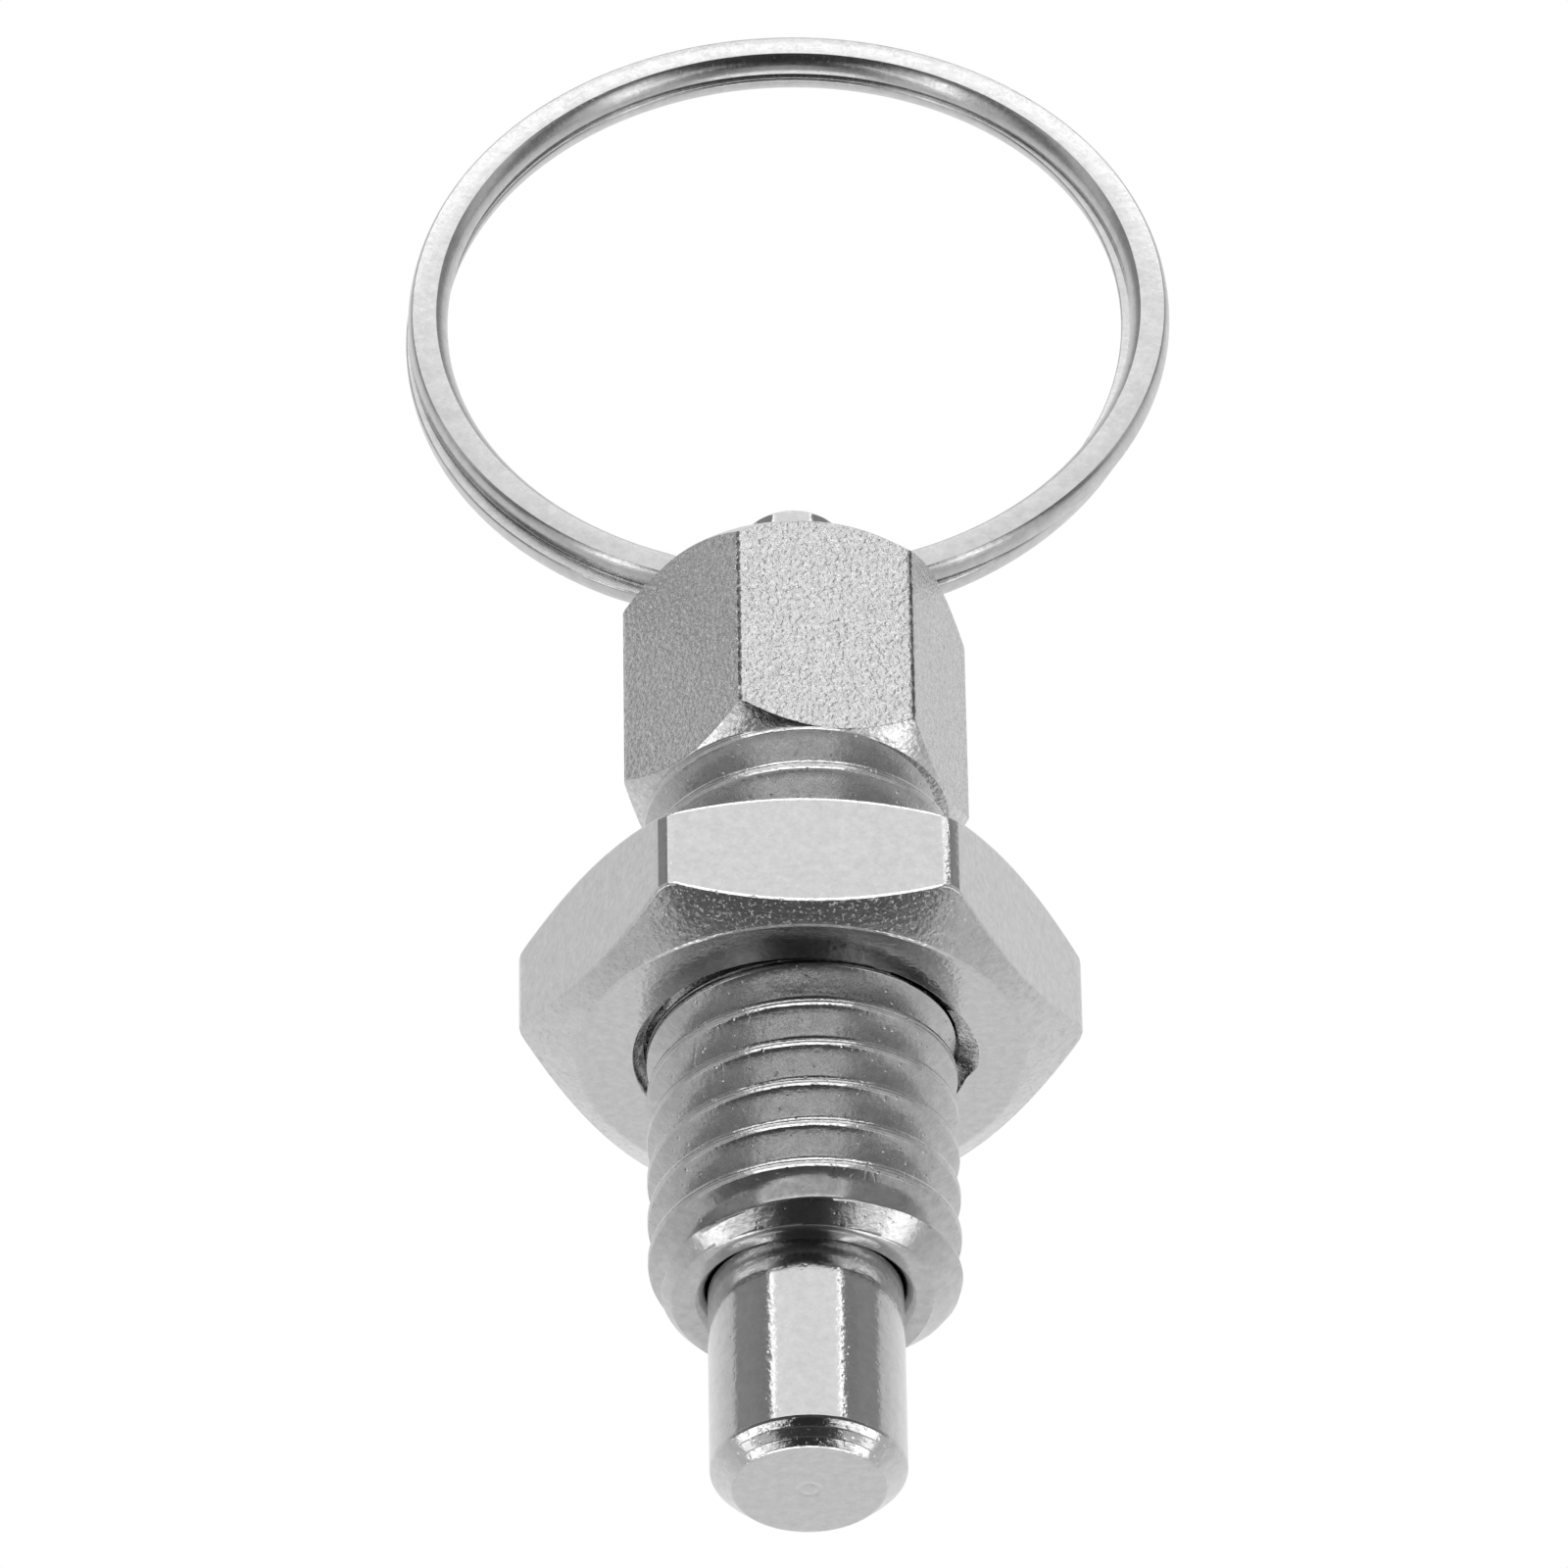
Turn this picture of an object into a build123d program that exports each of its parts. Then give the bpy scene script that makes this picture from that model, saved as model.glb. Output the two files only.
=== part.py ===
from build123d import *
import math
import os

os.makedirs("parts", exist_ok=True)

# The frame: +Z runs along the plunger towards the pin's tip,
# and the origin is on the axis in the clamping face of the lock nut.

# Threaded sleeve
thread_d = 8.0
thread_len = 15.2
thread_end_chamfer = 0.6
thread_reach = 7.6
sleeve_wall_rear = 3.0

# Hexagon head at the rear of the sleeve
head_af = 8.0
head_len = 6.8
head_turned_d = 7.9
head_angle = -12.0

# Bore of the sleeve
bore_clearance = 0.03
mouth_chamfer = 0.28
shank_clearance = 0.06

# Indexing pin
pin_d = 5.0
pin_reach = 5.72
pin_guide_len = 8.4
tip_chamfer = 0.56
shoulder_chamfer = 0.2
shank_d = 2.6
shank_reach = 2.52
shank_end_chamfer = 0.15
eye_d = 1.8
eye_setback = 0.95

# Compression spring round the shank
spring_wire = 0.5
spring_wire_sides = 8
spring_od = 4.5
spring_turns = 6.5
spring_end_gap = 0.02

# Lock nut
nut_af = 12.75
nut_h = 3.9
nut_turned_d = 11.6
nut_bevel = 30.0
nut_angle = -2.5
nut_corner_r = 0.35
nut_bore_clearance = 0.05
nut_mouth_d = 8.7

# Split ring of two coils, one lying on the other, of wire rolled flat with bulging sides
ring_d = 19.79
wire_w = 1.05
wire_t = 0.57
wire_side = 0.21
wire_side_flats = 4
coil_gap = 0.02
ring_tilt = 6.3
ring_seat = 0.72
upper_oval = 0.17
lower_oval = 0.26
lower_coil_less = 0.07
lower_slip_x = 0.17
lower_slip_z = 0.23
lower_skew = 0.10
lift_at_eye = 0.32
lift_centre = 268.0
lift_reach = 26.0

# Angles round the ring: 0 at -X, 90 at the end away from the plunger, 270 in the eye
upper_coil_from = 261.0
upper_coil_to = 610.0
lower_coil_from = 621.0
lower_coil_to = 968.0
stations_per_coil = 26

# Places along the axis, all from the sizes above
front_z = thread_reach
head_front_z = front_z - thread_len
head_rear_z = head_front_z - head_len
bore_floor_z = head_rear_z + sleeve_wall_rear
tip_z = front_z + pin_reach
shoulder_z = front_z - pin_guide_len
shank_end_z = head_rear_z - shank_reach
eye_z = head_rear_z - eye_setback
bore_r = pin_d / 2 + bore_clearance


def turned_blank(turned_r, corner_r, z_low, z_high, bevel):
    """Outline of a hexagon blank whose corners are turned to a cone at both ends."""
    over = 0.5
    rise = (corner_r + over - turned_r) * math.tan(math.radians(bevel))
    return [
        (0, z_low),
        (turned_r, z_low),
        (corner_r + over, z_low + rise),
        (corner_r + over, z_high - rise),
        (turned_r, z_high),
        (0, z_high),
    ]


# Sleeve: one turned piece, hexagon bar with a threaded stem
with BuildPart() as body:
    with BuildSketch(Plane.XY.offset(head_rear_z)):
        RegularPolygon(head_af / 2, 6, major_radius=False, rotation=head_angle)
    extrude(amount=head_len)
    with BuildSketch(Plane.XZ):
        with BuildLine():
            Polyline(
                turned_blank(head_turned_d / 2, head_af / math.sqrt(3), head_rear_z, head_front_z, 45),
                close=True,
            )
        make_face()
    revolve(axis=Axis.Z, mode=Mode.INTERSECT)
    with BuildSketch(Plane.XY.offset(head_front_z)):
        Circle(thread_d / 2)
    extrude(amount=thread_len)
    chamfer(body.faces().sort_by(Axis.Z)[-1].edges(), thread_end_chamfer)
    with BuildSketch(Plane.XY.offset(bore_floor_z)):
        Circle(bore_r)
    extrude(amount=front_z - bore_floor_z, mode=Mode.SUBTRACT)
    mouth = body.faces().sort_by(Axis.Z)[-1].edges().sort_by(SortBy.LENGTH)[0]
    chamfer(mouth, mouth_chamfer)
    with BuildSketch(Plane.XY.offset(head_rear_z)):
        Circle(shank_d / 2 + shank_clearance)
    extrude(amount=sleeve_wall_rear, mode=Mode.SUBTRACT)
body.part.label = "body"
export_step(body.part, "parts/body.step")

# Pin: one turned piece with its thin shank and the eye for the ring
with BuildPart() as index_pin:
    with BuildSketch(Plane.XZ):
        with BuildLine():
            Polyline(
                (0, tip_z),
                (pin_d / 2 - tip_chamfer, tip_z),
                (pin_d / 2, tip_z - tip_chamfer),
                (pin_d / 2, shoulder_z + shoulder_chamfer),
                (pin_d / 2 - shoulder_chamfer, shoulder_z),
                (shank_d / 2, shoulder_z),
                (shank_d / 2, shank_end_z + shank_end_chamfer),
                (shank_d / 2 - shank_end_chamfer, shank_end_z),
                (0, shank_end_z),
                close=True,
            )
        make_face()
    revolve(axis=Axis.Z)
    with BuildSketch(Plane.YZ):
        with Locations((0, eye_z)):
            Circle(eye_d / 2)
    extrude(amount=shank_d, both=True, mode=Mode.SUBTRACT)
index_pin.part.label = "index_pin"
export_step(index_pin.part, "parts/index_pin.step")

# Spring: ground flat at both ends, between the pin's shoulder and the floor of the bore
spring_low = bore_floor_z + spring_end_gap
spring_high = shoulder_z - spring_end_gap
spring_len = spring_high - spring_low
spring_pitch = (spring_len + spring_wire) / spring_turns
with BuildPart() as spring:
    with BuildLine():
        coil = Helix(
            pitch=spring_pitch,
            height=spring_len + spring_wire,
            radius=(spring_od - spring_wire) / 2,
            center=(0, 0, spring_low - spring_wire / 2),
        )
    with BuildSketch(Plane(origin=coil @ 0, z_dir=coil % 0)):
        RegularPolygon(spring_wire / 2, spring_wire_sides)
    sweep(path=coil, is_frenet=True)
    with BuildSketch(Plane.XY.offset(spring_low)):
        Circle(spring_od)
    extrude(amount=spring_len, mode=Mode.INTERSECT)
spring.part.label = "spring"
export_step(spring.part, "parts/spring.step")

# Lock nut: thin hexagon nut, bevelled on both faces
with BuildPart() as lock_nut:
    with BuildSketch(Plane.XY.offset(-nut_h)):
        RegularPolygon(nut_af / 2, 6, major_radius=False, rotation=nut_angle)
    extrude(amount=nut_h)
    fillet(lock_nut.edges().filter_by(Axis.Z), nut_corner_r)
    with BuildSketch(Plane.XZ):
        with BuildLine():
            Polyline(
                turned_blank(nut_turned_d / 2, nut_af / math.sqrt(3), -nut_h, 0, nut_bevel),
                close=True,
            )
        make_face()
    revolve(axis=Axis.Z, mode=Mode.INTERSECT)
    nut_bore_r = thread_d / 2 + nut_bore_clearance
    with BuildSketch(Plane.XY.offset(-nut_h)):
        Circle(nut_bore_r)
    extrude(amount=nut_h, mode=Mode.SUBTRACT)
    nut_mouths = lock_nut.edges().filter_by(GeomType.CIRCLE).filter_by(
        lambda e: abs(e.radius - nut_bore_r) < 0.001
    )
    chamfer(nut_mouths, nut_mouth_d / 2 - nut_bore_r)
lock_nut.part.label = "lock_nut"
export_step(lock_nut.part, "parts/lock_nut.step")

# Split ring: its plane leans back by the tilt, and both coils pass through the pin's eye
lean = math.radians(ring_tilt)
away = Vector(0, math.sin(lean), -math.cos(lean))
normal = Vector(0, -math.cos(lean), -math.sin(lean))
side = Vector(-1, 0, 0)
ring_foot = Vector(0, 0, head_rear_z - ring_seat)
ring_centre = ring_foot + away * (ring_d / 2 + upper_oval)
coil_level = (wire_t + coil_gap) / 2


def upper_radius(deg):
    """Radius of the coil nearer the front, a slight oval."""
    return ring_d / 2 - upper_oval * math.cos(math.radians(2 * deg))


def lower_radius(deg):
    """Radius of the coil behind, which has slipped sideways but lifts clear of the head in the eye."""
    a = math.radians(deg)
    slip = -lower_slip_x * math.cos(a) - lower_slip_z * math.sin(a) + lower_skew * math.sin(2 * a)
    near_eye = max(0.0, 1 - abs(deg % 360 - lift_centre) / lift_reach)
    lift = lift_at_eye * math.sin(math.pi / 2 * near_eye) ** 2
    return (ring_d - lower_coil_less) / 2 + slip - lower_oval * math.cos(2 * a) - lift


def ring_point(deg, radius, height):
    a = math.radians(deg)
    in_plane = side * (radius * math.cos(a)) + away * (radius * math.sin(a))
    return ring_centre + in_plane + normal * height


def wire_outline():
    """Section of the flattened wire: two wide flats, and each bulging side in short flats."""
    points = []
    for toward in (1, -1):
        for i in range(wire_side_flats + 1):
            a = math.pi * i / wire_side_flats
            across = wire_w / 2 - wire_side * (1 - math.sin(a))
            points.append((-toward * wire_t / 2 * math.cos(a), toward * across))
    return points


def stations(first, last):
    return [first + i * (last - first) / stations_per_coil for i in range(stations_per_coil + 1)]


# The wire starts beside the shank, runs round as the upper coil, steps down before it
# reaches its own start, and runs round again as the lower coil
upper_points = [ring_point(d, upper_radius(d), coil_level) for d in stations(upper_coil_from, upper_coil_to)]
lower_points = [ring_point(d, lower_radius(d), -coil_level) for d in stations(lower_coil_from, lower_coil_to)]

with BuildPart() as pull_ring:
    with BuildLine() as ring_path:
        upper_coil = Spline(upper_points)
        lower_coil = Spline(lower_points)
        Spline(upper_coil @ 1, lower_coil @ 0, tangents=(upper_coil % 1, lower_coil % 0))
    with BuildSketch(Plane(origin=upper_coil @ 0, x_dir=normal, z_dir=upper_coil % 0)):
        with BuildLine():
            Polyline(wire_outline(), close=True)
        make_face()
    sweep(path=ring_path.line)
pull_ring.part.label = "pull_ring"
export_step(pull_ring.part, "parts/pull_ring.step")
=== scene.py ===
import math

import bmesh
import bpy
from mathutils import Matrix, Vector


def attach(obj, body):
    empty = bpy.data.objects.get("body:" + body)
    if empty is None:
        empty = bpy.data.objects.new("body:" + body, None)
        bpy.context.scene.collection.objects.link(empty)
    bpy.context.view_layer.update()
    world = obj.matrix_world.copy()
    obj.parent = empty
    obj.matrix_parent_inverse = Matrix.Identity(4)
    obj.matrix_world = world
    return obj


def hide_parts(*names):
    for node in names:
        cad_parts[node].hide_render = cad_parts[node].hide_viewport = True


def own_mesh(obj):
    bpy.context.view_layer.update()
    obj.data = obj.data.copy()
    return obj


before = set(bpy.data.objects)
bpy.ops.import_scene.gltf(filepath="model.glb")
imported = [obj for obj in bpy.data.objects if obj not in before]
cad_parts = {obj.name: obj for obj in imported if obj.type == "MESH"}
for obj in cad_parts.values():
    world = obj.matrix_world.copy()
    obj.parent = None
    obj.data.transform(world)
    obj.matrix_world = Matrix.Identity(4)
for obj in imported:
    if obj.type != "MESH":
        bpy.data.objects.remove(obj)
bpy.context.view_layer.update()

MM = 0.001
scene = bpy.context.scene

# Sleeve, in millimetres; +Z runs towards the pin's tip
FRONT_Z = 7.6
HEAD_FRONT_Z = -7.6
HEAD_REAR_Z = -14.4
BORE_FLOOR_Z = -11.4
BORE_R = 2.53
SHANK_BORE_R = 1.36
HEX_APOTHEM = 4.0
HEX_TURNED_R = 3.95
HEX_CORNER_R = 0.26
HEX_CORNER_DEG = -12.0

# Thread, whose crests have a rolled seam along their middle
CREST_R = 4.0
PITCH = 1.25
CREST_NEAR_Z = 7.33
CREST_HALF = 0.14
SEAM_HALF = 0.055
SEAM_DEPTH = 0.03
END_CHAMFER = 0.6
MOUTH_CHAMFER = 0.28
STEM_LOW_Z = HEAD_FRONT_Z - 0.15
THREAD_COLUMNS = 168
THREAD_STEP = 0.12

# Lock nut, whose flats have a narrow worn border and a facet at each corner
NUT_APOTHEM = 6.375
NUT_TURNED_R = 5.8
NUT_H = 3.9
NUT_BORE_R = 4.06
NUT_MOUTH_R = 4.35
NUT_MOUTH_DEPTH = 0.29
NUT_RIM = 0.09
NUT_RIM_DROP = 0.022
NUT_BEVEL = math.radians(30)
NUT_CORNER_DEG = -2.5
NUT_FACET = 0.36
NUT_BORDER = 0.08
BORDER_TURN_DEG = 19
BORDER_SLOPE = math.radians(12.5)
NOTCH_FROM_DEG = 166
NOTCH_TO_DEG = 212
NOTCH_DEPTH = 0.22
NUT_STEP = 0.28

# Pin
PIN_R = 2.5
SHANK_R = 1.3
TIP_Z = 13.32
SHOULDER_Z = -0.8
SHANK_END_Z = -16.92
EYE_Z = -15.35
EYE_R = 0.9
PIN_COLUMNS = 144

# Spring
SPRING_LOW = BORE_FLOOR_Z + 0.02
SPRING_HIGH = SHOULDER_Z - 0.02
SPRING_R = 2.0
SPRING_WIRE = 0.5
SPRING_TURNS = 6.5

# Split ring: its plane leans back, and it is one wire in two coils
RING_D = 19.79
WIRE_W = 1.034
WIRE_T = 0.57
SHOWN_T = 0.582
COIL_GAP = 0.02
UPPER_OVAL = 0.17
LOWER_OVAL = 0.26
LOWER_COIL_LESS = 0.07
LOWER_SLIP_X = 0.17
LOWER_SLIP_Z = 0.23
LOWER_SKEW = 0.10
LIFT_AT_EYE = 0.32
LIFT_CENTRE = 268
LIFT_REACH = 26
UPPER_FROM = 261.0
UPPER_TO = 610.0
LOWER_FROM = 621.0
LOWER_TO = 968.0
RING_STATIONS = 708
WIDEST_OFF = 0.2
INNER_SHIFT = 0.03
WORN_INNER = 0.29
WORN_OUTER = 0.18
FRESH_SIDE = 0.05
EDGE_DEG = 62
WIDEST_DEG = 6
LEAN = math.radians(6.3)
AWAY = Vector((0, math.sin(LEAN), -math.cos(LEAN)))
NORMAL = Vector((0, -math.cos(LEAN), -math.sin(LEAN)))
SIDE = Vector((-1, 0, 0))
RING_CENTRE = Vector((0, 0, HEAD_REAR_Z - 0.72)) + AWAY * (RING_D / 2 + UPPER_OVAL)
COIL_LEVEL = (WIRE_T + COIL_GAP) / 2


# Mesh helpers
def link(name, data):
    obj = bpy.data.objects.new(name, data)
    scene.collection.objects.link(obj)
    return obj


def finish_mesh(name, bm, material, sharp=50.0):
    """Turns a bmesh in millimetres into an object in metres with clean, weighted normals."""
    bmesh.ops.remove_doubles(bm, verts=bm.verts, dist=1e-5)
    bmesh.ops.dissolve_degenerate(bm, edges=bm.edges, dist=1e-6)
    bmesh.ops.recalc_face_normals(bm, faces=bm.faces)
    bmesh.ops.scale(bm, vec=Vector((MM, MM, MM)), verts=bm.verts)
    mesh = bpy.data.meshes.new(name)
    bm.to_mesh(mesh)
    bm.free()
    mesh.materials.append(material)
    for poly in mesh.polygons:
        poly.use_smooth = True
    mesh.set_sharp_from_angle(angle=math.radians(sharp))
    obj = link(name, mesh)
    weighted = obj.modifiers.new("normals", "WEIGHTED_NORMAL")
    weighted.keep_sharp = True
    return obj


def apply_modifiers(obj):
    deps = bpy.context.evaluated_depsgraph_get()
    mesh = bpy.data.meshes.new_from_object(obj.evaluated_get(deps))
    obj.modifiers.clear()
    obj.data = mesh


def rounded(points, radii, steps=4, closed=False):
    """A polyline in (r, z) whose corners become arcs of the given radii, each of as many points."""
    out = []
    n = len(points)
    for i, (point, radius) in enumerate(zip(points, radii)):
        if radius <= 0 or (not closed and i in (0, n - 1)):
            out.append(point)
            continue
        p, a, b = Vector(point), Vector(points[i - 1]), Vector(points[(i + 1) % n])
        da, db = a - p, b - p
        la, lb = da.length, db.length
        if la < 1e-9 or lb < 1e-9:
            out += [point] * (steps + 1)
            continue
        da, db = da / la, db / lb
        half = da.angle(db) / 2
        reach = min(radius / math.tan(half), la * 0.48, lb * 0.48)
        r = reach * math.tan(half)
        centre = p + (da + db).normalized() * (r / math.sin(half))
        start, end = p + da * reach - centre, p + db * reach - centre
        turn = start.angle_signed(end)
        for k in range(steps + 1):
            t = -turn * k / steps
            c, s = math.cos(t), math.sin(t)
            out.append((centre.x + start.x * c - start.y * s, centre.y + start.x * s + start.y * c))
    return out


def hex_columns(apothem, corner_r, corner_deg, flat_steps=24, corner_steps=6):
    """Angles and radii round a hexagon with rounded corners."""
    centre = (apothem - corner_r) / math.cos(math.radians(30))
    reach = centre + corner_r * math.cos(math.radians(30))
    edge = math.atan2(corner_r * math.sin(math.radians(30)), reach)
    columns = []
    for k in range(6):
        mid = math.radians(corner_deg + 60 * k)
        for i in range(corner_steps + 1):
            d = -edge + 2 * edge * i / corner_steps
            across = math.sqrt(max(0.0, corner_r**2 - (centre * math.sin(d)) ** 2))
            columns.append((mid + d, centre * math.cos(d) + across))
        for i in range(1, flat_steps):
            d = edge + (math.radians(60) - 2 * edge) * i / flat_steps
            columns.append((mid + d, apothem / math.cos(math.radians(30) - d)))
    return columns


def crossing(first, second):
    """Where two lines meet, each given by its normal and its distance from the centre."""
    (a, b, p), (c, d, q) = first, second
    det = a * d - b * c
    return ((p * d - q * b) / det, (a * q - c * p) / det)


def worn_columns(apothem, corner_deg, facet, border, border_deg, edge_r=0.03):
    """Angles and radii round a hexagon: flats, a narrow border at each side, and corner facets."""
    corner = apothem / math.cos(math.radians(30)) - facet / 2 / math.tan(math.radians(60))
    side = apothem * math.tan(math.radians(30)) - facet / math.sqrt(3) - border
    lines = []
    for k in range(6):
        flat_deg = corner_deg - 30 + 60 * k
        flat = math.radians(flat_deg)
        for turn, along in ((-border_deg, -side), (0, 0), (border_deg, side)):
            n = math.radians(flat_deg + turn)
            x = apothem * math.cos(flat) - along * math.sin(flat)
            y = apothem * math.sin(flat) + along * math.cos(flat)
            lines.append((math.cos(n), math.sin(n), x * math.cos(n) + y * math.sin(n)))
        c = math.radians(flat_deg + 30)
        lines.append((math.cos(c), math.sin(c), corner))
    outline = [crossing(here, nxt) for here, nxt in zip(lines, lines[1:] + lines[:1])]
    worn = rounded(outline, [edge_r] * len(outline), 2, closed=True)
    columns = []
    for (x, y), (next_x, next_y) in zip(worn, worn[1:] + worn[:1]):
        cuts = max(1, round(math.hypot(next_x - x, next_y - y) / NUT_STEP))
        for c in range(cuts):
            px, py = x + (next_x - x) * c / cuts, y + (next_y - y) * c / cuts
            columns.append((math.atan2(py, px), math.hypot(px, py)))
    return columns


def circle_columns(count):
    return [(2 * math.pi * j / count, 1.0) for j in range(count)]


def column_verts(bm, phi, points):
    """Vertices of a turned form's outline, in (r, z), at one angle round the axis."""
    c, s = math.cos(phi), math.sin(phi)
    return [bm.verts.new((r * c, r * s, z)) for r, z in points]


def lathe(columns, profile, closed):
    """A turned form: profile(phi, radius) gives each column's (r, z) points, all the same number."""
    bm = bmesh.new()
    grid = [column_verts(bm, phi, profile(phi, radius)) for phi, radius in columns]
    rows = len(grid[0])
    for here, nxt in zip(grid, grid[1:] + grid[:1]):
        for i in range(rows if closed else rows - 1):
            k = (i + 1) % rows
            bm.faces.new((here[i], nxt[i], nxt[k], here[k]))
    return bm


def skin(bm, stations):
    """Joins closed sections, each a list of as many vertices, into a wire with flat ends."""
    for here, nxt in zip(stations, stations[1:]):
        for i in range(len(here)):
            k = (i + 1) % len(here)
            bm.faces.new((here[i], nxt[i], nxt[k], here[k]))
    bm.faces.new(stations[0])
    bm.faces.new(list(reversed(stations[-1])))


# Shader helpers
def new_material(name):
    mat = bpy.data.materials.new(name)
    mat.use_nodes = True
    tree = mat.node_tree
    return mat, tree, tree.nodes["Principled BSDF"]


def feed(tree, socket, value):
    """Gives a socket a constant, or links it to another node's output."""
    if isinstance(value, bpy.types.NodeSocket):
        tree.links.new(value, socket)
    else:
        socket.default_value = value


def math_node(tree, operation, a, b=None):
    n = tree.nodes.new("ShaderNodeMath")
    n.operation = operation
    feed(tree, n.inputs[0], a)
    if b is not None:
        feed(tree, n.inputs[1], b)
    return n.outputs[0]


def mix(tree, kind, share, low, high):
    """low where the share is 0 and high where it is 1; kind is FLOAT, VECTOR or RGBA."""
    n = tree.nodes.new("ShaderNodeMix")
    n.data_type = kind
    for key, value in (("Factor", share), ("A", low), ("B", high)):
        feed(tree, n.inputs[key], value)
    return n.outputs["Result"]


def noise(tree, vector, scale, detail=3.0, rough=0.55):
    n = tree.nodes.new("ShaderNodeTexNoise")
    n.inputs["Scale"].default_value = scale
    n.inputs["Detail"].default_value = detail
    n.inputs["Roughness"].default_value = rough
    tree.links.new(vector, n.inputs["Vector"])
    return n.outputs["Fac"]


def span(tree, value, low, high, to_low, to_high):
    """A value's range from low to high, carried over to another range and held at its ends."""
    n = tree.nodes.new("ShaderNodeMapRange")
    n.clamp = True
    tree.links.new(value, n.inputs["Value"])
    for key, x in (("From Min", low), ("From Max", high), ("To Min", to_low), ("To Max", to_high)):
        n.inputs[key].default_value = x
    return n.outputs["Result"]


def bump(tree, height, distance, after=None):
    n = tree.nodes.new("ShaderNodeBump")
    n.inputs["Strength"].default_value = 1.0
    n.inputs["Distance"].default_value = distance
    tree.links.new(height, n.inputs["Height"])
    if after is not None:
        tree.links.new(after, n.inputs["Normal"])
    return n.outputs["Normal"]


def axes_of(tree, vector):
    n = tree.nodes.new("ShaderNodeSeparateXYZ")
    tree.links.new(vector, n.inputs[0])
    return n.outputs


def placed(tree, vector, turn=(0.0, 0.0, 0.0), shift=(0.0, 0.0, 0.0), factors=(1.0, 1.0, 1.0)):
    """Coordinates scaled, then turned, then shifted."""
    n = tree.nodes.new("ShaderNodeMapping")
    n.inputs["Location"].default_value = shift
    n.inputs["Rotation"].default_value = turn
    n.inputs["Scale"].default_value = factors
    tree.links.new(vector, n.inputs["Vector"])
    return n.outputs["Vector"]


def radius_of(tree, coords):
    """Distance from the Z axis."""
    x, y, _ = axes_of(tree, coords)
    squares = [math_node(tree, "MULTIPLY", axis, axis) for axis in (x, y)]
    return math_node(tree, "SQRT", math_node(tree, "ADD", *squares))


def radial_vector(tree, coords, across, along):
    """Coordinates whose first axis is the distance from the Z axis, for turned marks."""
    out = tree.nodes.new("ShaderNodeCombineXYZ")
    tree.links.new(math_node(tree, "MULTIPLY", radius_of(tree, coords), across), out.inputs[0])
    tree.links.new(math_node(tree, "MULTIPLY", axes_of(tree, coords)[2], along), out.inputs[1])
    return out.outputs[0]


def pits(tree, vector, scale, reach):
    """Sparse small dents: 1 at the middle of a cell, falling to 0 at the reach."""
    n = tree.nodes.new("ShaderNodeTexVoronoi")
    n.inputs["Scale"].default_value = scale
    tree.links.new(vector, n.inputs["Vector"])
    return span(tree, n.outputs["Distance"], 0.0, reach, 1.0, 0.0)


def scratches(tree, coords, scale, share, turn):
    """Thin short lines across the surface, where a stretched noise runs through its middle value."""
    long = placed(tree, coords, turn=turn, factors=(scale, scale * 0.07, scale * 0.4))
    line = math_node(tree, "ABSOLUTE", math_node(tree, "SUBTRACT", noise(tree, long, 1.0, 1.0, 0.4), 0.5))
    thin = span(tree, line, 0.0, 0.012, 1.0, 0.0)
    where = noise(tree, coords, scale * 0.35, 2.0, 0.5)
    return math_node(tree, "MULTIPLY", thin, span(tree, where, 1 - share, 1.06 - share, 0.0, 1.0))


def sloped_faces(tree):
    """1 on bevels and chamfers, 0 on faces along or across the Z axis."""
    normal = tree.nodes.new("ShaderNodeTexCoord").outputs["Normal"]
    up = math_node(tree, "ABSOLUTE", axes_of(tree, normal)[2])
    leaves_side, leaves_face = span(tree, up, 0.3, 0.5, 0.0, 1.0), span(tree, up, 0.93, 0.97, 1.0, 0.0)
    return math_node(tree, "MULTIPLY", leaves_side, leaves_face)


# Steel
def grey(value):
    return (value, value, value, 1)


def steel_colour(tree, coords, value, tone, tone_scale, edge):
    """Patches a little lighter and darker than the value, and a painted dark line of shade beyond the
    edge's radii.
    """
    patches = span(tree, noise(tree, coords, tone_scale, 5.0, 0.72), 0.3, 0.7, 0.0, 1.0)
    colour = mix(tree, "RGBA", patches, grey(value * (1 - tone)), grey(value * (1 + tone)))
    if not edge:
        return colour
    # Painted shade: a dark line in place of the dark reflection along a rounded corner
    ragged = span(tree, noise(tree, coords, 5000, 2.0, 0.6), 0.3, 0.7, -5e-6, 5e-6)
    radius = math_node(tree, "ADD", radius_of(tree, coords), ragged)
    return mix(tree, "RGBA", span(tree, radius, *edge, 0.0, 1.0), colour, grey(0.14))


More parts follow.
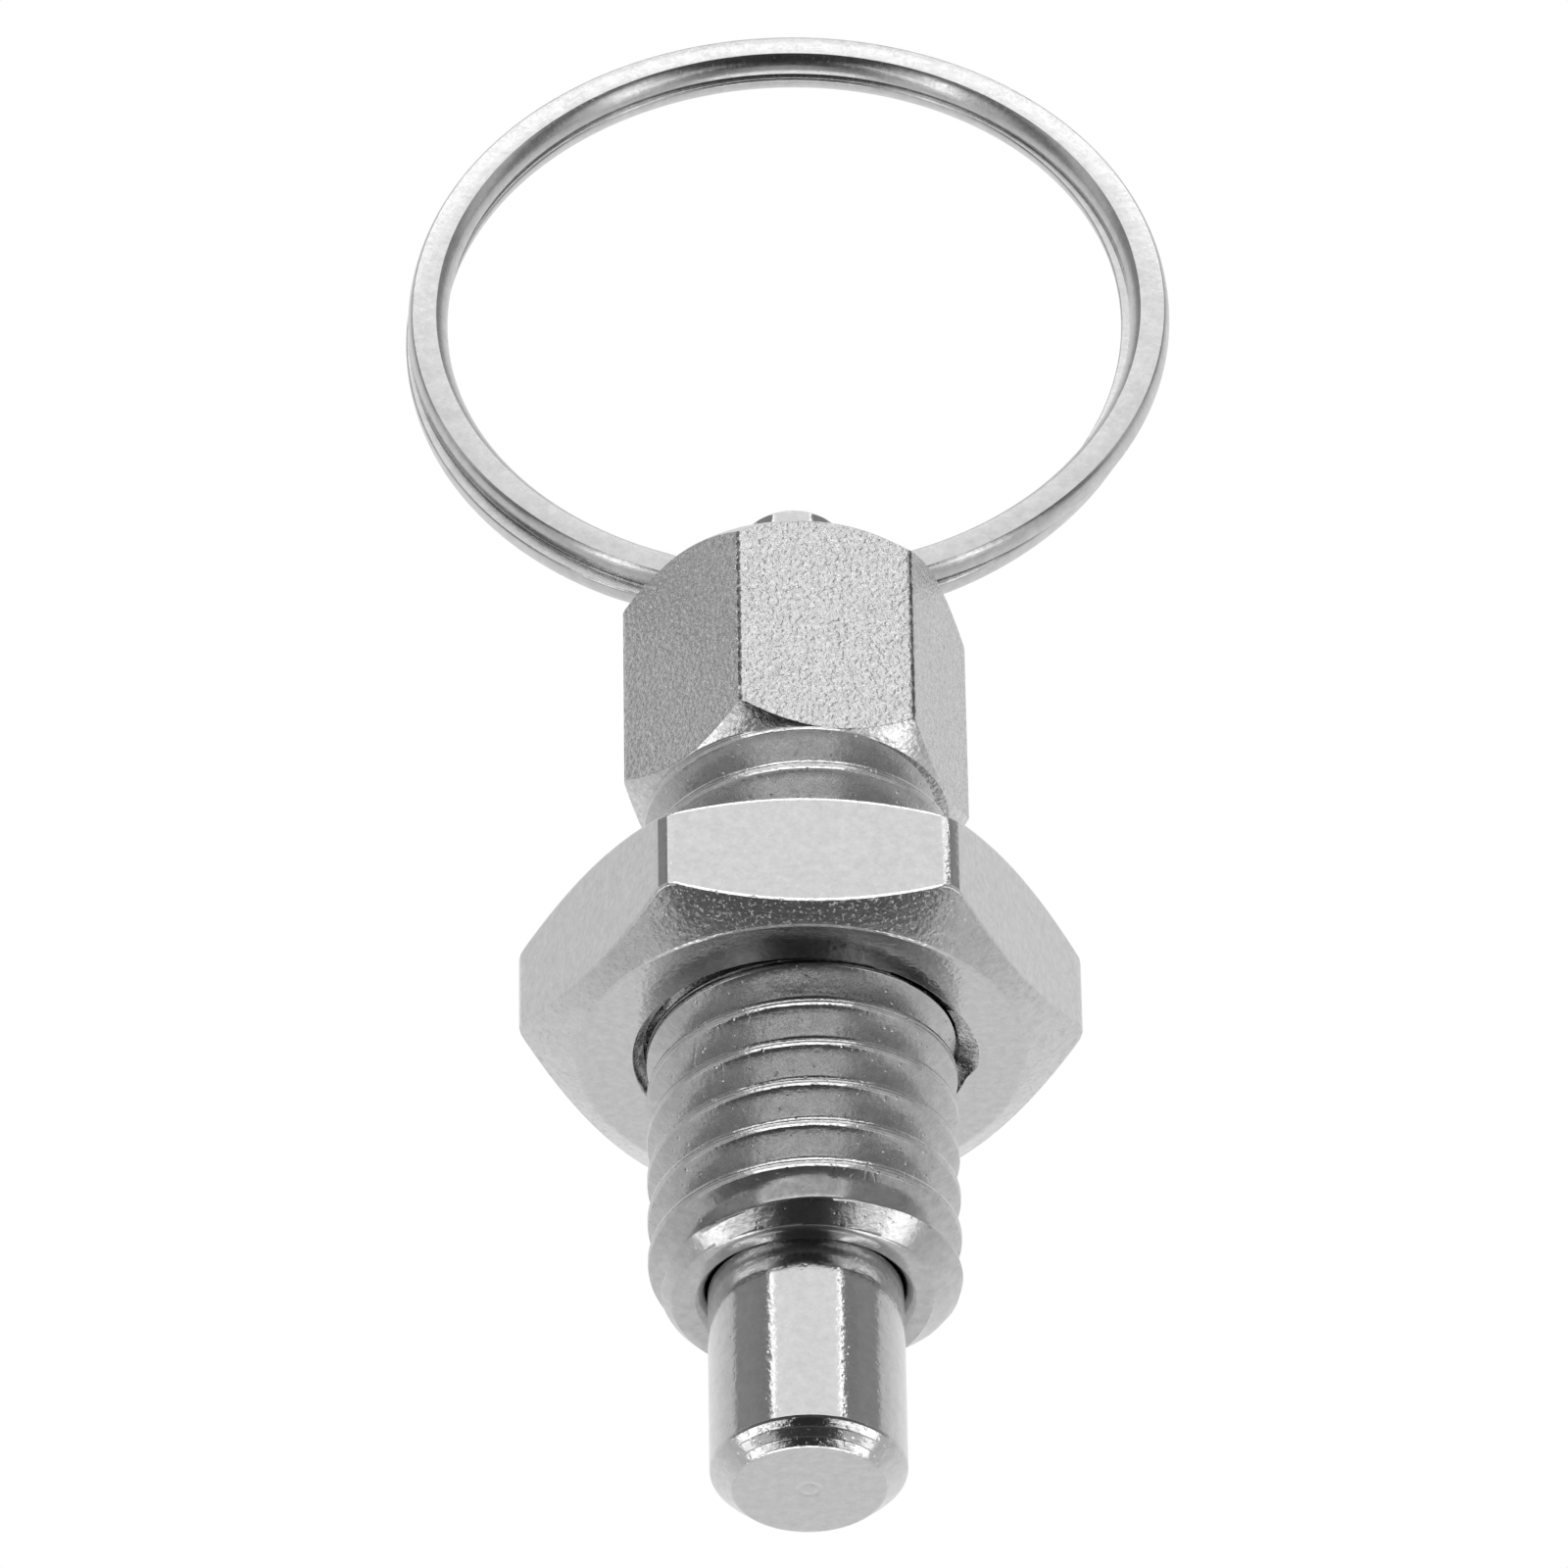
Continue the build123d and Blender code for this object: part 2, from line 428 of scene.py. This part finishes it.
def steel_relief(tree, coords, marks, marks_place, grain, dents, scratch, bevel):
    """Turned marks, grain, dents and scratches, and flecks and rings on sloped faces, one on another."""
    normal = None
    if marks:
        across, along, height = marks
        about = placed(tree, coords, *marks_place) if marks_place else coords
        normal = bump(tree, noise(tree, radial_vector(tree, about, across, along), 1.0, 4.0, 0.7), height)
    for scale, height in grain:
        normal = bump(tree, noise(tree, coords, scale, 2.0, 0.5), height, normal)
    if dents:
        scale, reach, height = dents
        normal = bump(tree, pits(tree, coords, scale, reach), -height, normal)
    if scratch:
        scale, share, height = scratch
        for turn in ((0.3, 0.5, 0.9), (1.2, 0.2, -0.7)):
            normal = bump(tree, scratches(tree, coords, scale, share, turn), -height, normal)
    if bevel:
        scale, height = bevel
        rings = noise(tree, radial_vector(tree, coords, 16000, 16000), 1.0, 3.0, 0.7)
        patch = span(tree, noise(tree, coords, 1500, 2.0, 0.5), 0.38, 0.58, 0.3, 1.0)
        fleck = span(tree, noise(tree, coords, scale, 2.0, 0.5), 0.60, 0.68, 0.0, 1.0)
        flecks = math_node(tree, "MULTIPLY", patch, fleck)
        cut = math_node(tree, "ADD", flecks, math_node(tree, "MULTIPLY", rings, 0.30))
        normal = bump(tree, math_node(tree, "MULTIPLY", cut, sloped_faces(tree)), height, normal)
    return normal


def source(bsdf, name):
    return bsdf.inputs[name].links[0].from_socket


def roughen(tree, bsdf, where, rough):
    """Another roughness in a part of the surface."""
    tree.links.new(mix(tree, "FLOAT", where, source(bsdf, "Roughness"), rough), bsdf.inputs["Roughness"])


def quieten(tree, bsdf, where, rough, calm):
    """Another roughness and less relief in a part of the surface."""
    roughen(tree, bsdf, where, rough)
    plain = tree.nodes.new("ShaderNodeNewGeometry").outputs["Normal"]
    share = math_node(tree, "MULTIPLY", where, calm)
    tree.links.new(mix(tree, "VECTOR", share, source(bsdf, "Normal"), plain), bsdf.inputs["Normal"])


def steel(
    name, value, rough, rough_vary=0.06, tone=0.06, tone_scale=900.0, edge=None,
    marks=None, marks_place=None, grain=(), dents=None, scratch=None, bevel=None,
    worn=None, end=None, turned=None,
):
    """Stainless steel. Scales are per metre, and heights, radii and places in metres.

    edge: two radii between which the steel turns to a painted dark line of shade. marks: scales across
    and along, and height.
    marks_place: turn and shift that bring the marks' axis to Z. grain: pairs of scale and height.
    dents: scale, reach, height. scratch: scale, share, height. bevel: scale, height.
    worn: two radii and the roughness outside them. end: two places on Z, with the roughness and the
    calm beyond them. turned: roughness and calm of the sloped faces."""
    mat, tree, bsdf = new_material(name)
    bsdf.inputs["Metallic"].default_value = 1.0
    coords = tree.nodes.new("ShaderNodeTexCoord").outputs["Object"]
    tree.links.new(steel_colour(tree, coords, value, tone, tone_scale, edge), bsdf.inputs["Base Color"])
    spots = noise(tree, coords, tone_scale * 4.3, 3.0, 0.6)
    varied = span(tree, spots, 0.3, 0.7, rough - rough_vary, rough + rough_vary)
    tree.links.new(varied, bsdf.inputs["Roughness"])
    relief = steel_relief(tree, coords, marks, marks_place, grain, dents, scratch, bevel)
    tree.links.new(relief, bsdf.inputs["Normal"])
    if worn:
        low, high, rough_outside = worn
        roughen(tree, bsdf, span(tree, radius_of(tree, coords), low, high, 0.0, 1.0), rough_outside)
    if end:
        low, high, rough_beyond, calm = end
        beyond = span(tree, axes_of(tree, coords)[2], low, high, 0.0, 1.0)
        quieten(tree, bsdf, beyond, rough_beyond, calm)
    if turned:
        quieten(tree, bsdf, sloped_faces(tree), *turned)
    return mat


# The head's hexagon corners, past 4.572 mm from the axis, get a painted dark line of shade in place of a
# dark reflection
mat_blasted = steel(
    "blasted_steel", 0.62, 0.27, 0.08, tone=0.27, tone_scale=7500, edge=(0.004572, 0.004577),
    grain=((8200, 62e-6), (4200, 10e-6)), dents=(3600, 0.15, 8e-6), turned=(0.20, 0.8),
)
mat_thread = steel(
    "thread_steel", 0.55, 0.26, 0.08, tone=0.13, tone_scale=3600,
    marks=(12000, 12000, 3e-6), grain=((8000, 9e-6), (2600, 8e-6)), dents=(3600, 0.18, 14e-6),
    scratch=(900, 0.4, 5e-6), worn=(0.00386, 0.00393, 0.13), end=(0.0060, 0.0062, 0.17, 0.6),
)
mat_pin = steel(
    "ground_steel", 0.65, 0.12, 0.05, tone=0.09, tone_scale=3600,
    marks=(7000, 9000, 1.5e-6), grain=((7500, 5e-6), (2200, 2.5e-6)), dents=(3400, 0.18, 4e-6),
    scratch=(700, 0.45, 3e-6), bevel=(6000, 6e-6),
)
mat_nut = steel(
    "nut_steel", 0.65, 0.15, 0.06, tone=0.10, tone_scale=4200,
    marks=(9000, 9000, 1.5e-6), grain=((7000, 9e-6), (2600, 8e-6)), scratch=(620, 0.4, 3e-6),
    bevel=(10500, 13e-6),
)
ring_upright = Matrix.Rotation(-math.pi / 2 - LEAN, 3, "X")
mat_ring = steel(
    "ring_steel", 0.61, 0.22, 0.06, tone=0.10, tone_scale=2600,
    marks=(22000, 22000, 3.5e-6), grain=((6000, 3e-6),),
    marks_place=((-math.pi / 2 - LEAN, 0, 0), tuple(-(ring_upright @ RING_CENTRE) * MM)),
)
mat_spring = steel("spring_steel", 0.55, 0.3, 0.08, grain=((7000, 2e-6),))


# Hexagon head
def head_profile(phi, radius):
    rise = radius - HEX_TURNED_R
    points = [
        (BORE_R, HEAD_FRONT_Z),
        (HEX_TURNED_R, HEAD_FRONT_Z),
        (radius, HEAD_FRONT_Z - rise),
        (radius, HEAD_REAR_Z + rise),
        (HEX_TURNED_R, HEAD_REAR_Z),
        (SHANK_BORE_R + 0.08, HEAD_REAR_Z),
        (SHANK_BORE_R, HEAD_REAR_Z + 0.08),
        (SHANK_BORE_R, BORE_FLOOR_Z),
        (BORE_R, BORE_FLOOR_Z),
    ]
    return rounded(points, [0, 0.03, 0.05, 0.05, 0.03, 0.03, 0.03, 0, 0], 3, closed=True)


head_columns = hex_columns(HEX_APOTHEM, HEX_CORNER_R, HEX_CORNER_DEG)
head = finish_mesh("head", lathe(head_columns, head_profile, closed=True), mat_blasted)


# Threaded stem
def pitch_profile():
    """One pitch of a metric thread, from crest centre to crest centre, as (axial, radius)."""
    root = CREST_R - 0.6134 * PITCH
    foot = CREST_HALF + (CREST_R - root) * math.tan(math.radians(30))
    lip = CREST_R - (CREST_HALF - SEAM_HALF) * math.tan(math.radians(12))
    half = [(0, CREST_R - SEAM_DEPTH), (SEAM_HALF, CREST_R), (CREST_HALF, lip), (foot, root)]
    corners = half + [(PITCH - z, r) for z, r in reversed(half)]
    curve = rounded(corners, [0, 0.012, 0.03, 0.12, 0.12, 0.03, 0.012, 0], 4)
    out = []
    for a, b in zip(curve, curve[1:]):
        cuts = max(1, round(math.hypot(b[0] - a[0], b[1] - a[1]) / THREAD_STEP))
        out += [(a[0] + (b[0] - a[0]) * k / cuts, a[1] + (b[1] - a[1]) * k / cuts) for k in range(cuts)]
    return out


def at_height(a, b, z):
    """Where the line between two (r, z) points crosses a height."""
    t = (z - a[1]) / (b[1] - a[1])
    return (a[0] + (b[0] - a[0]) * t, z)


def thread_side(pitch, start, turns):
    """The thread's outline at one angle, cut by the end chamfer and level with both ends."""
    points = [(r, start + PITCH * t + axial) for t in range(turns) for axial, r in pitch]
    points = [(min(r, FRONT_Z - z + CREST_R - END_CHAMFER), z) for r, z in points]
    low = next(i for i, p in enumerate(points) if p[1] > STEM_LOW_Z)
    high = max(i for i, p in enumerate(points) if p[1] < FRONT_Z)
    first = at_height(points[low - 1], points[low], STEM_LOW_Z)
    last = at_height(points[high], points[high + 1], FRONT_Z)
    return [first] * low + points[low : high + 1] + [last] * (len(points) - high - 1)


def stem_mesh():
    """The thread rises by one pitch a turn, so the last column joins the first one pitch along."""
    pitch = pitch_profile()
    turns = math.ceil((FRONT_Z - STEM_LOW_Z) / PITCH) + 3
    bm = bmesh.new()
    outer, inner = [], []
    for j in range(THREAD_COLUMNS):
        share = j / THREAD_COLUMNS
        phi = 2 * math.pi * share - math.pi / 2
        side = thread_side(pitch, CREST_NEAR_Z - PITCH * (turns - 2) + PITCH * share, turns)
        mouth = [
            ((side[-1][0] + BORE_R + MOUTH_CHAMFER) / 2, FRONT_Z),
            (BORE_R + MOUTH_CHAMFER + 0.02, FRONT_Z),
            (BORE_R + MOUTH_CHAMFER - 0.01, FRONT_Z - 0.01),
            (BORE_R + 0.01, FRONT_Z - MOUTH_CHAMFER + 0.01),
            (BORE_R, FRONT_Z - MOUTH_CHAMFER - 0.03),
            (BORE_R, STEM_LOW_Z),
        ]
        outer.append(column_verts(bm, phi, side))
        inner.append([outer[-1][-1]] + column_verts(bm, phi, mouth) + [outer[-1][0]])
    rows = len(outer[0])
    for j in range(THREAD_COLUMNS):
        k = (j + 1) % THREAD_COLUMNS
        shift = 0 if k else len(pitch)
        for i in range(rows - 1 - shift):
            bm.faces.new((outer[j][i], outer[k][i + shift], outer[k][i + 1 + shift], outer[j][i + 1]))
        for i in range(len(inner[j]) - 1):
            bm.faces.new((inner[j][i], inner[k][i], inner[k][i + 1], inner[j][i + 1]))
    return bm


stem = finish_mesh("threaded_stem", stem_mesh(), mat_thread, sharp=70)


# Lock nut
def nut_profile(phi, radius):
    """Outline at one angle; the mouth is wider at the notch where the nut's thread starts."""
    deg = math.degrees(phi) % 360
    notch = NOTCH_DEPTH * max(0.0, min((NOTCH_TO_DEG - deg) / 30, (deg - NOTCH_FROM_DEG) / 7, 1.0))
    border_r = radius - NUT_BORDER * math.sin(BORDER_SLOPE)
    rise = (border_r - NUT_TURNED_R) * math.tan(NUT_BEVEL)
    deep = rise + NUT_BORDER * math.cos(BORDER_SLOPE)
    points = [
        (NUT_BORE_R, -NUT_MOUTH_DEPTH),
        (NUT_MOUTH_R + notch, 0.0),
        (NUT_TURNED_R - NUT_RIM, 0.0),
        (NUT_TURNED_R, -NUT_RIM_DROP),
        (border_r, -rise),
        (radius, -deep),
        (radius, -NUT_H + deep),
        (border_r, -NUT_H + rise),
        (NUT_TURNED_R, -NUT_H + NUT_RIM_DROP),
        (NUT_TURNED_R - NUT_RIM, -NUT_H),
        (NUT_MOUTH_R, -NUT_H),
        (NUT_BORE_R, -NUT_H + NUT_MOUTH_DEPTH),
    ]
    corner = 0.22 if radius > 7.2 else 0.03
    radii = [0, 0.04, 0.01, 0.01, corner, 0.03, 0.03, corner, 0.01, 0.01, 0.04, 0]
    return rounded(points, radii, 4, closed=True)


nut_columns = worn_columns(NUT_APOTHEM, NUT_CORNER_DEG, NUT_FACET, NUT_BORDER, BORDER_TURN_DEG)
nut = finish_mesh("nut", lathe(nut_columns, nut_profile, closed=True), mat_nut)

# Pin: radius, height and rounding of each corner, from the pip in its end to the shank's end
PIN_POINTS = [
    (0.0, TIP_Z, 0),
    (0.16, TIP_Z - 0.004, 0.1),
    (0.25, TIP_Z - 0.025, 0.08),
    (0.36, TIP_Z, 0.08),
    (1.90, TIP_Z, 0.03),
    (1.96, TIP_Z - 0.02, 0.02),
    (2.10, TIP_Z - 0.17, 0.03),
    (2.13, TIP_Z - 0.19, 0.01),
    (2.30, TIP_Z - 0.35, 0.03),
    (2.33, TIP_Z - 0.37, 0.01),
    (2.47, TIP_Z - 0.52, 0.03),
    (PIN_R, TIP_Z - 0.60, 0.03),
    (PIN_R, SHOULDER_Z + 0.2, 0.04),
    (PIN_R - 0.2, SHOULDER_Z, 0.03),
    (SHANK_R, SHOULDER_Z, 0.05),
    (SHANK_R, SHANK_END_Z + 0.15, 0.03),
    (SHANK_R - 0.15, SHANK_END_Z, 0.03),
    (0.0, SHANK_END_Z, 0),
]
pin_curve = rounded([p[:2] for p in PIN_POINTS], [p[2] for p in PIN_POINTS], 4)
pin_bm = lathe(circle_columns(PIN_COLUMNS), lambda phi, radius: pin_curve, closed=False)
pin = finish_mesh("pin", pin_bm, mat_pin)


def cut_eye(obj):
    """Drills the eye for the ring across the shank."""
    cutter = bpy.data.meshes.new("eye_cutter")
    bm = bmesh.new()
    radius = EYE_R * MM
    bmesh.ops.create_cone(bm, cap_ends=True, segments=96, radius1=radius, radius2=radius, depth=6 * MM)
    bm.to_mesh(cutter)
    bm.free()
    tool = link("eye_cutter", cutter)
    tool.rotation_euler = (0, math.pi / 2, 0)
    tool.location = (0, 0, EYE_Z * MM)
    boolean = obj.modifiers.new("eye", "BOOLEAN")
    boolean.object = tool
    boolean.operation = "DIFFERENCE"
    boolean.solver = "EXACT"
    obj.modifiers.move(len(obj.modifiers) - 1, 0)
    bpy.context.view_layer.update()
    apply_modifiers(obj)
    bpy.data.objects.remove(tool)
    bpy.data.meshes.remove(cutter)


cut_eye(pin)


# Split ring
def upper_radius(deg):
    return RING_D / 2 - UPPER_OVAL * math.cos(math.radians(2 * deg))


def lower_radius(deg):
    """The coil behind has slipped sideways, but lifts clear of the head in the eye."""
    a = math.radians(deg)
    slip = -LOWER_SLIP_X * math.cos(a) - LOWER_SLIP_Z * math.sin(a) + LOWER_SKEW * math.sin(2 * a)
    near_eye = max(0.0, 1 - abs(deg % 360 - LIFT_CENTRE) / LIFT_REACH)
    lift = LIFT_AT_EYE * math.sin(math.pi / 2 * near_eye) ** 2
    return (RING_D - LOWER_COIL_LESS) / 2 + slip - LOWER_OVAL * math.cos(2 * a) - lift


def step_share(deg):
    """0 in the upper coil, 1 in the lower one, and between them in the step from one to the other."""
    t = min(1.0, max(0.0, (deg - UPPER_TO) / (LOWER_FROM - UPPER_TO)))
    return t * t * (3 - 2 * t)


def ring_point(deg):
    t = step_share(deg)
    radius = upper_radius(deg) * (1 - t) + lower_radius(deg) * t
    a = math.radians(deg)
    in_plane = SIDE * (radius * math.cos(a)) + AWAY * (radius * math.sin(a))
    return RING_CENTRE + in_plane + NORMAL * (COIL_LEVEL * (1 - 2 * t))


def wire_side(wide, high, first_deg=90.0, last_deg=0.0, shift=0.0, count=8):
    """From a flat face to the wire's widest place, as (inwards, up): part of an ellipse."""
    first, last = math.radians(first_deg), math.radians(last_deg)
    span_in, span_up = math.cos(last) - math.cos(first), math.sin(first) - math.sin(last)
    out = []
    for i in range(count + 1):
        a = first + (last - first) * i / count
        inwards = wide * (math.cos(last) - math.cos(a)) / span_in
        out.append((inwards + shift, high * (math.sin(a) - math.sin(last)) / span_up))
    return out


def between(side_a, side_b, share):
    return [tuple(p * share + q * (1 - share) for p, q in zip(a, b)) for a, b in zip(side_a, side_b)]


def wire_section(worn):
    """Section as (across, up), anticlockwise; across grows outwards from the ring's centre.

    worn runs from 1 in the upper coil, whose face above is worn, to -1 in the lower coil, whose face
    below is. The worn inner side is a wide curve that starts at a clear edge, and the sides stay
    square where the coils touch."""
    half, edge = SHOWN_T / 2, WIRE_W / 2
    widest, shift = -WIDEST_OFF * worn, -INNER_SHIFT * worn
    high, low = half + WIDEST_OFF, half - WIDEST_OFF
    worn_inner = wire_side(WORN_INNER, high, EDGE_DEG, WIDEST_DEG, shift)
    worn_outer = wire_side(WORN_OUTER, high)
    fresh_inner = wire_side(FRESH_SIDE, low, shift=shift)
    fresh_outer = wire_side(FRESH_SIDE, low)
    points = []
    for sign, inner in ((1, False), (1, True), (-1, True), (-1, False)):
        share = (1 + sign * worn) / 2
        if inner:
            quarter = between(worn_inner, fresh_inner, share)
        else:
            quarter = between(worn_outer, fresh_outer, share)
        outwards = -1 if inner else 1
        side = [(outwards * (edge - x), widest + sign * y) for x, y in quarter]
        points += side[::-1] if (sign > 0) != inner else side
    return points


def ring_mesh(nudge=0.2):
    bm = bmesh.new()
    stations = []
    for i in range(RING_STATIONS):
        deg = UPPER_FROM + (LOWER_TO - UPPER_FROM) * i / (RING_STATIONS - 1)
        centre = ring_point(deg)
        ahead = (ring_point(deg + nudge) - ring_point(deg - nudge)).normalized()
        out = ahead.cross(NORMAL).normalized()
        up = out.cross(ahead).normalized()
        if up.dot(NORMAL) < 0:
            up, out = -up, -out
        section = wire_section(1 - 2 * step_share(deg))
        stations.append([bm.verts.new(centre + out * across + up * above) for across, above in section])
    skin(bm, stations)
    return bm


ring = finish_mesh("split_ring", ring_mesh(), mat_ring, sharp=20)


# Compression spring, ground flat at both ends, between the bore's floor and the pin's shoulder
def spring_mesh(count=360, sides=14):
    bm = bmesh.new()
    low, high = SPRING_LOW - SPRING_WIRE / 2, SPRING_HIGH + SPRING_WIRE / 2
    slope = math.atan2((high - low) / SPRING_TURNS, 2 * math.pi * SPRING_R)
    angles = [2 * math.pi * k / sides for k in range(sides)]
    stations = []
    for i in range(count + 1):
        share = i / count
        phi = 2 * math.pi * SPRING_TURNS * share
        c, s = math.cos(phi), math.sin(phi)
        out = Vector((c, s, 0))
        along = Vector((-s * math.cos(slope), c * math.cos(slope), math.sin(slope)))
        up = out.cross(along)
        centre = out * SPRING_R + Vector((0, 0, low + (high - low) * share))
        rim = [(out * math.cos(a) + up * math.sin(a)) * SPRING_WIRE / 2 for a in angles]
        stations.append([bm.verts.new(centre + offset) for offset in rim])
    skin(bm, stations)
    for z, outwards in ((SPRING_LOW, -1), (SPRING_HIGH, 1)):
        everything = bm.verts[:] + bm.edges[:] + bm.faces[:]
        ground = {"plane_co": (0, 0, z), "plane_no": (0, 0, outwards), "clear_outer": True}
        bmesh.ops.bisect_plane(bm, geom=everything, **ground)
        bmesh.ops.holes_fill(bm, edges=[e for e in bm.edges if e.is_boundary])
    return bm


coil_spring = finish_mesh("coil_spring", spring_mesh(), mat_spring)

# Each piece rides on its body in place of its node
for obj in (head, stem, nut, pin, ring, coil_spring):
    if obj.modifiers:
        apply_modifiers(obj)

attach(head, "sleeve")
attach(stem, "sleeve")
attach(nut, "nut")
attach(pin, "pin")
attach(ring, "ring")
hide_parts("body")
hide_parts("body")
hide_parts("lock_nut")
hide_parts("index_pin")
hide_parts("pull_ring")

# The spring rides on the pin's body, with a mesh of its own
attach(coil_spring, "pin")
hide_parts("spring")
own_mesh(coil_spring)

# Camera, fitted to the photograph: degrees, millimetres, and a focal length in its pixels
THETA_DEG = 53.26158
ROLL_DEG = 0.97297
TURN_DEG = 0.07088
DISTANCE = 329.936
SHIFT_X = 0.5564
SHIFT_Y = 13.11317
FOCAL_PX = 13286.831
PHOTO_PX = 1600
SENSOR = 36.0


def place_camera():
    """Looks at the plunger's front and tip, with the tip at the bottom of the picture."""
    th, roll = math.radians(THETA_DEG), math.radians(ROLL_DEG)
    right = Vector((-1, 0, 0))
    down = Vector((0, math.cos(th), math.sin(th)))
    forward = Vector((0, math.sin(th), -math.cos(th)))
    right, down = (
        right * math.cos(roll) + down * math.sin(roll),
        down * math.cos(roll) - right * math.sin(roll),
    )
    spin = Matrix.Rotation(math.radians(-TURN_DEG), 3, "Z")
    right, down, forward = spin @ right, spin @ down, spin @ forward
    place = Vector((0, 0, FRONT_Z)) - right * SHIFT_X - down * SHIFT_Y - forward * DISTANCE
    data = bpy.data.cameras.new("camera")
    data.sensor_width = SENSOR
    data.lens = FOCAL_PX / PHOTO_PX * SENSOR
    data.clip_start, data.clip_end = 0.01, 10.0
    camera = link("camera", data)
    pose = Matrix((right, -down, -forward)).transposed().to_4x4()
    pose.translation = place * MM
    camera.matrix_world = pose
    scene.camera = camera


place_camera()

# Floor, which the camera sees as white, below the ring's end
FLOOR_HALF = 0.6
FLOOR_Z = -0.16


def lay_floor():
    mesh = bpy.data.meshes.new("floor")
    corners = [(x * FLOOR_HALF, y * FLOOR_HALF, FLOOR_Z) for x, y in ((-1, -1), (1, -1), (1, 1), (-1, 1))]
    mesh.from_pydata(corners, [], [(0, 1, 2, 3)])
    floor = link("floor", mesh)
    material, tree, bsdf = new_material("floor")
    bsdf.inputs["Base Color"].default_value = grey(0.9)
    bsdf.inputs["Roughness"].default_value = 0.9
    path = tree.nodes.new("ShaderNodeLightPath")
    glow = tree.nodes.new("ShaderNodeEmission")
    glow.inputs["Color"].default_value = grey(1)
    glow.inputs["Strength"].default_value = 1.0
    shown = tree.nodes.new("ShaderNodeMixShader")
    tree.links.new(path.outputs["Is Camera Ray"], shown.inputs["Fac"])
    tree.links.new(bsdf.outputs[0], shown.inputs[1])
    tree.links.new(glow.outputs[0], shown.inputs[2])
    tree.links.new(shown.outputs[0], tree.nodes["Material Output"].inputs["Surface"])
    mesh.materials.append(material)
    floor.visible_glossy = False
    return floor


lay_floor()


# Lamps: a soft panel before the head's side, and narrow ones that draw bright lines along edges
def area(name, direction, distance, size_x, size_y, radiance, x_axis):
    """A soft box: direction from the object, sizes in metres, radiance as the surface shows."""
    light = bpy.data.lights.new(name, "AREA")
    light.shape = "RECTANGLE"
    light.size, light.size_y = size_x, size_y
    light.energy = radiance * math.pi * size_x * size_y
    lamp = link(name, light)
    z = Vector(direction).normalized()
    x = (Vector(x_axis) - z * Vector(x_axis).dot(z)).normalized()
    pose = Matrix((x, z.cross(x), z)).transposed().to_4x4()
    pose.translation = z * distance
    lamp.matrix_world = pose
    lamp.visible_camera = False


area("top_box", (0, -0.80, -0.60), 0.5, 0.676, 0.53, 0.80, (1, 0, 0))
area("rim_front", (0, -0.985, -0.174), 0.49, 0.60, 0.09, 1.7, (1, 0, 0))
area("rim_rear", (0, -0.454, -0.891), 0.49, 0.60, 0.07, 1.25, (1, 0, 0))
area("rim_up", (0, 0.375, 0.927), 0.49, 0.42, 0.08, 1.6, (1, 0, 0))
for hand in (-1, 1):
    area("rim_side", (hand * 0.545, -0.583, -0.60), 0.47, 0.024, 0.42, 1.1, (hand, 0, 0))
    area("strip", (hand * 0.70, -0.50, 0.48), 0.49, 0.30, 0.045, 2.1, (hand * 0.16, 0.45, 0.27))
    area("lens", (hand * 0.77, -0.06, 0.64), 0.49, 0.09, 0.16, 0.92, (hand * 0.64, 0, -0.77))
    area("arc", (hand * 0.66, -0.33, 0.70), 0.48, 0.44, 0.036, 1.35, (hand * 0.44, 0.50, -0.19))


def light_world():
    """Dim before the object and light behind, beside and below it; the camera sees plain white."""
    world = bpy.data.worlds.new("world")
    scene.world = world
    world.use_nodes = True
    tree = world.node_tree
    coords = tree.nodes.new("ShaderNodeTexCoord").outputs["Generated"]

    def facing(direction):
        n = tree.nodes.new("ShaderNodeVectorMath")
        n.operation = "DOT_PRODUCT"
        tree.links.new(coords, n.inputs[0])
        n.inputs[1].default_value = Vector(direction).normalized()
        return n.outputs["Value"]

    x, y, z = facing((1, 0, 0)), facing((0, 1, 0)), facing((0, 0, 1))
    front = span(tree, facing((0, -0.80, 0.60)), -0.1, 1.0, 0.30, 0.02)
    lit_back, less_above = span(tree, y, 0.05, 0.65, 0.62, 0.90), span(tree, z, 0.0, 1.0, 0.0, 0.22)
    rear = math_node(tree, "SUBTRACT", lit_back, less_above)
    behind = span(tree, facing((0, 0.998, -0.056)), 0.04, 0.11, 0.0, 1.0)
    depth = mix(tree, "FLOAT", behind, front, rear)
    low_band = math_node(
        tree, "MULTIPLY", span(tree, z, -0.50, -0.38, 0.0, 0.58), span(tree, z, -0.14, -0.02, 1.0, 0.0)
    )
    heights = math_node(tree, "ADD", span(tree, z, 0.15, 0.35, 0.0, 0.58), low_band)
    beside = span(tree, math_node(tree, "ABSOLUTE", x), 0.42, 0.52, 0.0, 1.0)
    walls = math_node(tree, "MULTIPLY", beside, heights)
    below = span(tree, facing((0, 0, -1)), 0.80, 0.90, 0.0, 0.66)
    lit = math_node(tree, "MAXIMUM", math_node(tree, "MAXIMUM", depth, walls), below)
    path = tree.nodes.new("ShaderNodeLightPath")
    background = tree.nodes["Background"]
    background.inputs["Color"].default_value = grey(1)
    strength = mix(tree, "FLOAT", path.outputs["Is Camera Ray"], lit, 1.0)
    tree.links.new(strength, background.inputs["Strength"])


light_world()
scene.view_settings.view_transform = "Standard"

bpy.context.view_layer.update()
